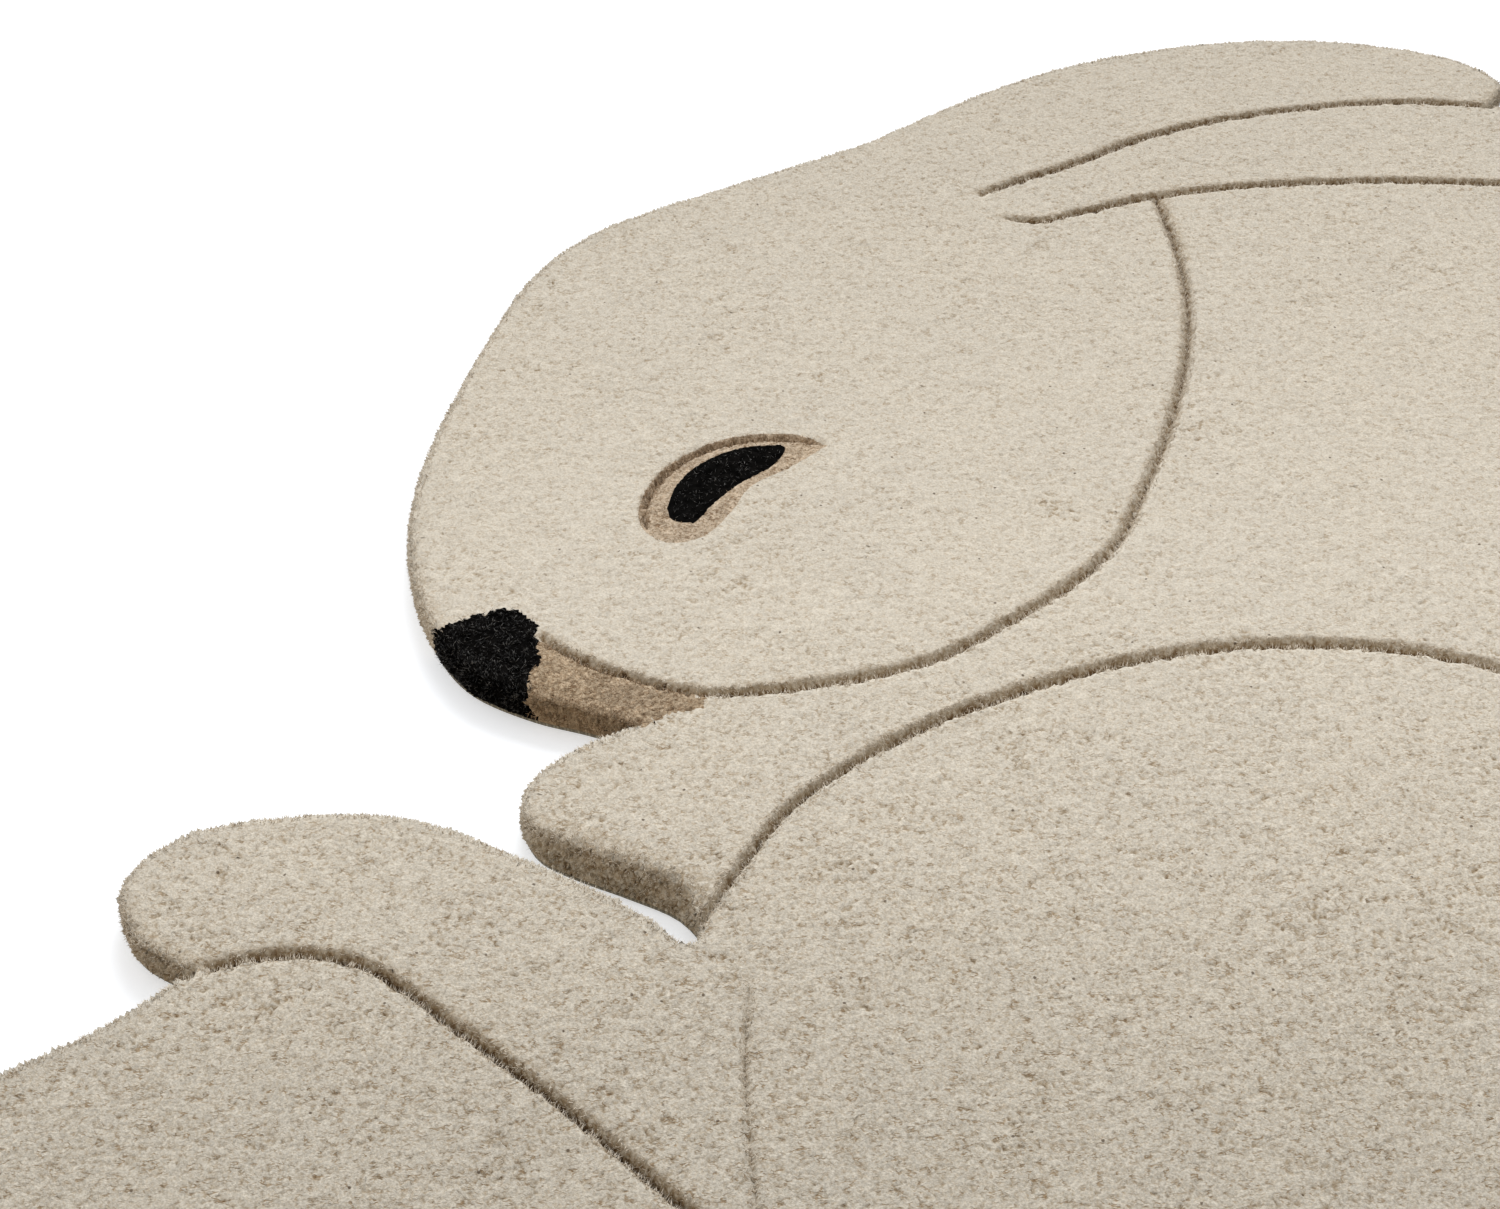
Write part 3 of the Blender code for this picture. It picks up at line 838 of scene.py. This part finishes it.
# The eye's two borders run clean: each pit between tufts on both sides of a border stands on it
for loop in (eye_loop, pupil_loop):
    border = Line(np.concatenate([loop, loop[:1]]))
    within = inside(tips, loop).reshape(columns, rows)
    after, above, beyond = (np.roll(within, shift, (0, 1)) for shift in ((-1, 0), (0, -1), (-1, -1)))
    for placed, third_tip in ((pits_up, within), (pits_down, beyond)):
        between = np.nonzero(((after != above) | (after != third_tip)).ravel())[0]
        off, border_along = border.measure(placed[between], reach=BORDER_SNAP)
        close = np.abs(off) < BORDER_SNAP
        near = between[close]
        placed[near] = 0.14 * placed[near] + 0.86 * border.at(border_along[close])

count = len(tips)
triangles, owner = tuft_triangles((columns, rows), region)
used, local = np.unique(triangles, return_inverse=True)
triangles = local.reshape(-1, 3)
flat = np.concatenate([tips, pits_up, pits_down])[used]
is_pit = used >= count

# Heights: the surface with its carved lines, its slow rise and fall, and uneven tufts with pits between them
edge_inset, edge_along = inset_of(flat)
share = bank_share(edge_along)
level = field_height(edge_inset + 0.0012 * noise(flat, 0.007, 26), share)
carved = groove_share(flat)
level = PILE_FOOT + (level - PILE_FOOT) * carved + undulation(flat)
clump = noise(flat, CLUMP, 23)
seams = 1 - np.abs(noise(flat * (0.55, 1.0) + 0.004 * clump[:, None], 0.0095, 24)) / 0.24
seams = np.clip(seams, 0, 1) * np.clip(noise(flat, 0.028, 25) + 0.25, 0, 1)
seams *= eased((edge_inset - 0.009 - 0.010 * share) / 0.006)
loose = rng.random(len(flat))
tip_height = 0.00025 * clump + 0.00022 * rng.standard_normal(len(flat)).clip(-2, 2)
coarse = 0.8 + 0.4 * eased((0.05 - flat[:, 1]) / 0.35) + 0.3 * eased((0.028 - edge_inset) / 0.012)
depth = coarse * (0.0003 + 0.0005 * loose ** 3 + 0.0007 * seams * loose)
height = np.maximum(level + np.where(is_pit, 0.5 * tip_height - depth, tip_height), PILE_FOOT + 0.0008)
vertex = np.column_stack([flat, height])
# Painted shade in the pits, more along the seams where the pile parts, towards the feet and near the rim
pit_shade = np.where(is_pit, np.clip(coarse * (0.5 * loose ** 5 + 0.6 * seams * loose), 0, 1), 0)

# Painted shade: down the banks of the carved lines, on the pile behind them, and on the rim that faces the
# feet
beside, strength = np.zeros(len(flat)), np.ones(len(flat))
for name, line in groove_lines.items():
    off, line_along = line.measure(flat, reach=0.012)
    behind = flat[:, 1] > line.at(line_along)[:, 1]
    if name not in ("shin", "brow"):
        beside = np.maximum(beside, np.where(behind, eased(1.6 * (1 - np.abs(off) / 0.009)), 0))
    if name == "haunch":
        strength = np.where(np.abs(off) < 0.012, 0.80 + 0.20 * eased((line_along - 0.10) / 0.14), strength)
shade = 0.37 * eased((0.97 - carved) / 0.33) + 0.42 * eased((0.68 - carved) / 0.20) + 0.07 * beside
shade *= strength * (0.85 + 0.30 * rng.random(len(flat))) * (0.68 + 0.36 * eased((flat[:, 1] - 0.05) / 0.25))
facing = toward_front(outline_at(edge_along)[1], -0.2, 1.0)
shade += 0.10 * eased((0.011 + 0.0095 * share - edge_inset) / 0.006) * facing
field = (vertex, surface_normals(vertex, triangles), pit_shade, shade, flat, np.zeros(len(flat), bool))
pile_pieces = patch_pieces(looks, region, field, triangles, owner, rng.random(count))

# ------------------------ the edge: rim and wall
EDGE_ROWS = 10            # rows of tufts from under the field over the rim to the foot
EDGE_TUFT = 0.0029        # distance between neighbouring tufts of a row
edge_columns = round(PERIMETER / EDGE_TUFT)
edge_step = PERIMETER / edge_columns


def edge_place(s, u, outward):
    """Points on the edge's surface, s along the outline and u down its section, moved outward from it."""
    centre, inward = outline_at(s)
    share = bank_share(np.mod(s, PERIMETER))
    inset, height = section_at(u, share)
    more, less = section_at(np.clip(u + 0.02, 0, 1), share), section_at(np.clip(u - 0.02, 0, 1), share)
    along_in, along_up = more[0] - less[0], more[1] - less[1]
    size = np.maximum(np.hypot(along_in, along_up), 1e-9)
    left = groove_share(centre + inward * np.maximum(inset, 0.0)[:, None])
    inset = inset + along_up / size * outward
    height = height - along_in / size * outward
    height = PILE_FOOT + np.maximum(height - PILE_FOOT, 0.0) * left
    return np.column_stack([centre + inward * inset[:, None], height])


ci, cj = np.meshgrid(np.arange(edge_columns), np.arange(-1, EDGE_ROWS), indexing="ij")
edge_count = ci.size
edge_s, edge_u = [], []
for is_free, columns_on, rows_on in ((True, 0, 0), (False, 0.5, 1 / 3), (False, 1.0, 2 / 3)):
    s = (ci + columns_on + cj / 2).ravel()
    u = ((cj + 0.5 + rows_on) / EDGE_ROWS).ravel()
    rim = (cj < 0).ravel() & (not is_free)
    foot = (cj == EDGE_ROWS - 1).ravel() & (not is_free)
    free = ~rim & ~foot
    s = s + np.where(free, rng.uniform(-0.30, 0.30, edge_count), 0)
    u = u + np.where(free, rng.uniform(-0.28, 0.28, edge_count), 0) / EDGE_ROWS
    u = np.where(rim, 0.0, np.where(foot, 1.0, np.clip(u, 0.012, 0.985)))
    edge_s.append(s * edge_step)
    edge_u.append(u)
edge_s, edge_u = np.concatenate(edge_s), np.concatenate(edge_u)
is_pit = np.arange(3 * edge_count) >= edge_count
loose = rng.random(3 * edge_count)
plan = np.column_stack([edge_s, edge_u * 0.028])
edge_centre, edge_inward = outline_at(edge_s)
facing = toward_front(edge_inward, -0.1, 0.8)
stands = 0.0006 + 0.0008 * noise(plan, 0.0085, 31) + 0.0006 * noise(plan, 0.0045, 32) + 0.0005 * loose
sinks = (-0.0003 - 0.0014 * loose ** 1.5) * (0.45 + 0.55 * facing)
calm = 0.40 + 0.80 * eased((edge_u - 0.18) / 0.25)
vertex = edge_place(edge_s, edge_u, np.where(is_pit, sinks, stands) * calm * eased((1 - edge_u) / 0.04))
uneven = np.where(is_pit, 0.00015, 0.0003) * noise(vertex, CLUMP, 23)
vertex[:, 2] += eased((0.55 - edge_u) / 0.25) * (undulation(vertex) - 0.0002 + uneven)
at_foot = edge_u >= 1.0
vertex[at_foot, 2] = PILE_FOOT
under = 0.0010 + (0.0110 + 0.0100 * bank_share(np.mod(edge_s, PERIMETER))) * (1 - edge_u)
under = edge_centre + edge_inward * under[:, None]
# Painted shade in the wall's pits and down the rim and wall, most where they face the feet; less on the
# mouth's
pit_shade = np.where(is_pit, 0.10 + 0.60 * loose ** 2, 0.0) * eased((edge_u - 0.32) / 0.25) * (0.15 + 0.85 * facing)
shade = 0.07 * eased(edge_u / 0.1) + 0.03 * eased((edge_u - 0.35) / 0.2) + 0.02 * eased((edge_u - 0.70) / 0.3)
shade *= toward_front(edge_inward, -0.2, 1.0)
at_mouth = edge_s < where_along(-300, -137)
shade[at_mouth] = 0.0
pit_shade[at_mouth] *= 0.65 * eased((edge_u[at_mouth] - 0.40) / 0.30)
tone = rng.random(edge_count)

# Where one colour of the edge ends and the next begins, stepped from row to row
EDGE_LOOKS = {1: ("mouth_edge", MOUTH_KIND), 2: ("nose_edge", NOSE_KIND), 3: ("pile_edge_head", PILE_KIND),
              4: ("pile_edge_back", PILE_KIND), 5: ("pile_edge_feet", PILE_KIND)}
EAR_NOTCH, FEET_FROM = where_along(328, 470), where_along(-84, -574)
tip_s, tip_u = np.mod(edge_s[:edge_count], PERIMETER), edge_u[:edge_count]
edge_region = np.where(tip_s < EAR_NOTCH, 3, np.where(tip_s < FEET_FROM, 4, 5))
for number, loop in ((1, mouth_loop), (2, nose_loop)):
    spread = tip_s + 0.008 * eased((tip_u - 0.6) / 0.3) * (tip_s < 0.10) * (number - 1)
    stray = BORDER_STEP * noise(np.column_stack([tip_s, tip_u * 0.03]), 0.006, 33)
    centre, inward = outline_at(spread + stray)
    edge_region[inside(centre + inward * np.maximum(section_at(tip_u, 0)[0], 0.003)[:, None], loop)] = number
edge_region[(cj < 0).ravel()] = 0
triangles, owner = tuft_triangles(ci.shape, edge_region)
edge = (vertex, surface_normals(vertex, triangles), pit_shade, shade, under, at_foot)
pile_pieces += patch_pieces(EDGE_LOOKS, edge_region, edge, triangles, owner, tone)


# ------------------------ loose fibres
FIBRE_THICK = 0.00022
FIBRE_ROOT = 0.0006       # how far a fibre's foot lies below the surface


def fibre_piece(name, roots, toward, lengths, kind):
    """Single fibres, each a thin closed spike with three sides and a base."""
    n = len(roots)
    toward = unit(toward)
    side = unit(np.cross(toward, rng.standard_normal((n, 3)))) * FIBRE_THICK
    other = np.cross(toward, side)
    foot = roots - toward * FIBRE_ROOT
    corners = np.concatenate([foot + side, foot - 0.5 * side + 0.87 * other, foot - 0.5 * side - 0.87 * other,
                              roots + toward * lengths[:, None]])
    a, b, c, tip = (np.arange(n) + k * n for k in range(4))
    found = np.concatenate([np.stack(t, 1) for t in ((a, b, tip), (b, c, tip), (c, a, tip), (a, c, b))])
    pile_pieces.append(make_piece(name, corners, found, kind))


def top_height(points):
    """Mean height of the pile's surface at points of the field."""
    off, s = inset_of(points)
    height = field_height(off, bank_share(s)) + undulation(points)
    return PILE_FOOT + (height - PILE_FOOT) * groove_share(points)


def edge_fibres(low, high, amount, u_range, reach):
    """Roots, directions and lengths of fibres on the edge between two places along the outline."""
    s = rng.uniform(low, high, amount)
    u = rng.uniform(*u_range, amount)
    root = edge_place(s, u, np.full(amount, 0.0002))
    ahead = edge_place(s, u, np.full(amount, 0.0022)) - root
    ahead /= np.maximum(np.linalg.norm(ahead, axis=1), 1e-9)[:, None]
    ahead += 0.55 * rng.standard_normal((amount, 3)) + (0, 0, 0.25)
    return root, ahead, rng.uniform(*reach, amount)


def field_fibres(amount, loop, reach, lean, but=None):
    """Roots, directions and lengths of fibres on the field inside a loop, but not inside another."""
    p = rng.uniform(loop.min(0), loop.max(0), (4 * amount, 2))
    p = p[inside(p, loop) & inside(p, outline_points)][:amount]
    p = p if but is None else p[~inside(p, but)]
    ahead = np.column_stack([lean * rng.standard_normal((len(p), 2)), np.ones(len(p))])
    return np.column_stack([p, top_height(p)]), ahead, rng.uniform(*reach, len(p))


def bank_fibres(amount):
    """Roots, directions and lengths of fibres on the banks of the carved lines."""
    roots, ahead = [], []
    total = sum(line.length for line in groove_lines.values())
    for name, line in groove_lines.items():
        n = int(amount * line.length / total * (0.35 if name == "shin" else 1.0))
        s = rng.uniform(0.004, line.length - 0.004, n)
        centre, after = line.at(s), line.at(s + 0.0005)
        across = (after - centre) / 0.0005
        across = np.stack([-across[:, 1], across[:, 0]], 1)
        left_bank, right_bank = GROOVES[name][:2]
        off = rng.uniform(-right_bank, left_bank, n)
        p = centre + across * off[:, None]
        good = inside(p, outline_points)
        p, off, across = p[good], off[good], across[good]
        roots.append(np.column_stack([p, top_height(p)]))
        back = -np.sign(off)[:, None] * across
        leaning = np.column_stack([0.7 * back, np.full(len(p), 0.8)])
        ahead.append(leaning + 0.45 * rng.standard_normal((len(p), 3)))
    return np.concatenate(roots), np.concatenate(ahead), rng.uniform(0.0012, 0.0032, sum(map(len, roots)))


def joined(*sets):
    return [np.concatenate(parts) for parts in zip(*sets)]


CREAM_FIBRES = fibres_of(PILE_KIND, CREAM_FIBRE)
MOUTH_FIBRES, EYE_FIBRES = fibres_of(MOUTH_KIND, TAN_FIBRE), fibres_of(EYE_KIND, TAN_FIBRE)
NOSE_FIBRES, PUPIL_FIBRES = fibres_of(NOSE_KIND, BLACK_FIBRE), fibres_of(PUPIL_KIND, BLACK_FIBRE)
NOSE_FROM, NOSE_TO = where_along(-291, -141), where_along(-339, -97)
PUPIL_RIM = 0.0020        # fibres keep this far inside the pupil's border
for name, amount, u_range, reach in (("rim_fibres", 13000, (0.25, 0.58), (0.0010, 0.0028)),
                                     ("wall_fibres", 12000, (0.52, 0.97), (0.0008, 0.0024))):
    fibre_piece(name, *edge_fibres(NOSE_TO, PERIMETER, amount, u_range, reach), CREAM_FIBRES)
on_banks = bank_fibres(14000)
in_eye, in_mouth = (inside(on_banks[0][:, :2], loop) for loop in (eye_loop, mouth_loop))
for name, mine, kind in (("cream_bank_fibres", ~in_eye & ~in_mouth, CREAM_FIBRES),
                         ("mouth_bank_fibres", in_mouth, MOUTH_FIBRES),
                         ("eye_bank_fibres", in_eye, EYE_FIBRES)):
    fibre_piece(name, *(values[mine] for values in on_banks), kind)
fibre_piece("mouth_fibres", *joined(
    edge_fibres(0.0, NOSE_FROM, 500, (0.22, 0.95), (0.0010, 0.0022)),
    field_fibres(600, mouth_loop, (0.0006, 0.0014), 0.8, nose_loop)), MOUTH_FIBRES)
fibre_piece("eye_fibres", *field_fibres(600, eye_loop, (0.0006, 0.0014), 0.8, pupil_loop), EYE_FIBRES)
fibre_piece("nose_fibres", *joined(
    edge_fibres(NOSE_FROM, NOSE_TO, 800, (0.15, 0.95), (0.0014, 0.0030)),
    field_fibres(900, nose_loop, (0.0012, 0.0030), 1.6)), NOSE_FIBRES)
pupil_middle = pupil_loop + PUPIL_RIM * inward_of(pupil_loop)
fibre_piece("pupil_fibres", *field_fibres(330, pupil_middle, (0.0010, 0.0026), 1.6), PUPIL_FIBRES)

# ------------------------ the backing
backing_line, _ = evenly(outline_points, 0.006, closed=True)
ring = backing_line + inward_of(backing_line) * BACKING_INSET
n = len(ring)
filled = filled_loops([ring])
k0, k1 = np.arange(n), (np.arange(n) + 1) % n
sides = np.concatenate([np.stack([k0, k0 + n, k1 + n], 1), np.stack([k0, k1 + n, k1], 1)])
backing = make_piece(
    "backing_cloth", np.concatenate([np.column_stack([ring, np.full(n, z)]) for z in (0.0, BACKING_THICK)]),
    np.concatenate([filled[:, ::-1], filled + n, sides]), BACKING_KIND)

# ------------------------ floor, light and camera
FLOOR_SIDE = 30.0         # half the floor's side
FLOOR_DROP = 0.0002       # the floor lies this far below the backing
floor_mesh = bpy.data.meshes.new("floor")
corners = [(x * FLOOR_SIDE, y * FLOOR_SIDE, 0) for x, y in ((-1, -1), (1, -1), (1, 1), (-1, 1))]
floor_mesh.from_pydata(corners, [], [(0, 1, 2, 3)])
floor = bpy.data.objects.new("floor", floor_mesh)
floor.location.z = -FLOOR_DROP
bpy.context.scene.collection.objects.link(floor)
floor_material, floor_nodes, floor_shader = new_material("floor_white")
floor_nodes.set_inputs(floor_shader, {
    "Base Color": (0.78, 0.82, 0.88, 1), "Roughness": 0.9, "Specular IOR Level": 0.1,
    "Emission Color": (0.96, 0.98, 1, 1), "Emission Strength": 0.44})
floor_mesh.materials.append(floor_material)
floor.visible_diffuse = False

# The studio: brightest behind the ears, with more light from the left, less from below, and warm at the feet
world = bpy.data.worlds.new("studio")
bpy.context.scene.world = world
nodes = Nodes(world)
side, front, up = (nodes.part(nodes.place("Generated"), axis) for axis in "XYZ")
level = nodes.math("ADD", nodes.mapped(front, -1, 1, 0.23, 0.90), nodes.mapped(side, -1, 0, 0.56, 0.0))
nodes.set_inputs(nodes.tree.nodes["Background"], {
    "Strength": nodes.math("MULTIPLY", level, nodes.mapped(up, -0.03, -0.01, 0.90, 1.0)),
    "Color": nodes.mix(nodes.mapped(front, -0.75, 0.25), (1.0, 0.82, 0.62, 1), (1.0, 1.0, 1.0, 1))})

light = bpy.data.lights.new("window", "AREA")
light.shape = "RECTANGLE"
light.size, light.size_y = 5.8, 3.7
light.energy = 525
window = bpy.data.objects.new("window", light)
window.location = (1.3, 6.2, 5.5)
window.rotation_euler = (Vector((-0.05, 0, 0)) - window.location).to_track_quat("-Z", "Y").to_euler()
bpy.context.scene.collection.objects.link(window)

PHOTO_WIDTH = 1500        # pixels
SHIFT_UP = 20.5           # the photo's middle lies this many pixels off the lens's axis
camera_data = bpy.data.cameras.new("camera")
camera_data.sensor_fit = "HORIZONTAL"
camera_data.sensor_width = 36.0
camera_data.lens = 52.8
camera_data.shift_y = SHIFT_UP / PHOTO_WIDTH
camera = bpy.data.objects.new("camera", camera_data)
camera.location = (-0.184, -0.926, 0.72)
camera.rotation_euler = (math.radians(50), 0, 0)
bpy.context.scene.collection.objects.link(camera)
bpy.context.scene.camera = camera
bpy.context.scene.view_settings.view_transform = "Standard"
